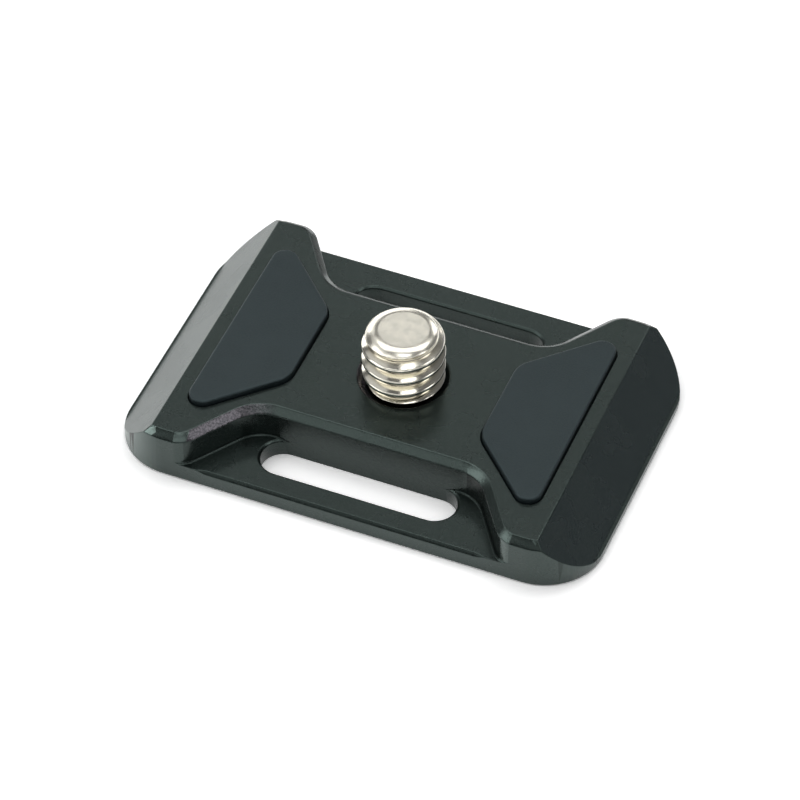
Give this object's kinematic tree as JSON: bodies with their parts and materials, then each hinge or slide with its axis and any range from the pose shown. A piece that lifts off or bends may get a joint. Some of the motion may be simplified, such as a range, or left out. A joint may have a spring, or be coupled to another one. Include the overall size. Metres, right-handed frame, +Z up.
{
  "type": "tripod quick release plate",
  "caption": "Low dovetail plate with a captive camera screw, rubber pads and strap slots, for holding a camera on a tripod head.",
  "frame": {"origin": "on the screw's axis, in the plane of the plate's underside", "axes": "+X across the dovetail, +Y along it, +Z up out of the screw's tip"},
  "size_m": [0.038, 0.0252, 0.009],
  "materials": {
    "plate_metal": "fine bead-blasted and black anodised, satin",
    "pad_rubber": "matt, very finely grained",
    "screw_metal": "bright nickel plating"
  },
  "bodies": {
    "plate": {"plate_body": "plate_metal", "left_pad": "pad_rubber", "right_pad": "pad_rubber"},
    "screw": {"camera_screw": "screw_metal"}
  },
  "joints": [
    {"name": "screw_spin", "type": "hinge", "parent": "plate", "child": "screw", "pos_m": [0, 0, 0], "axis": [0, 0, 1], "continuous": true}
  ]
}
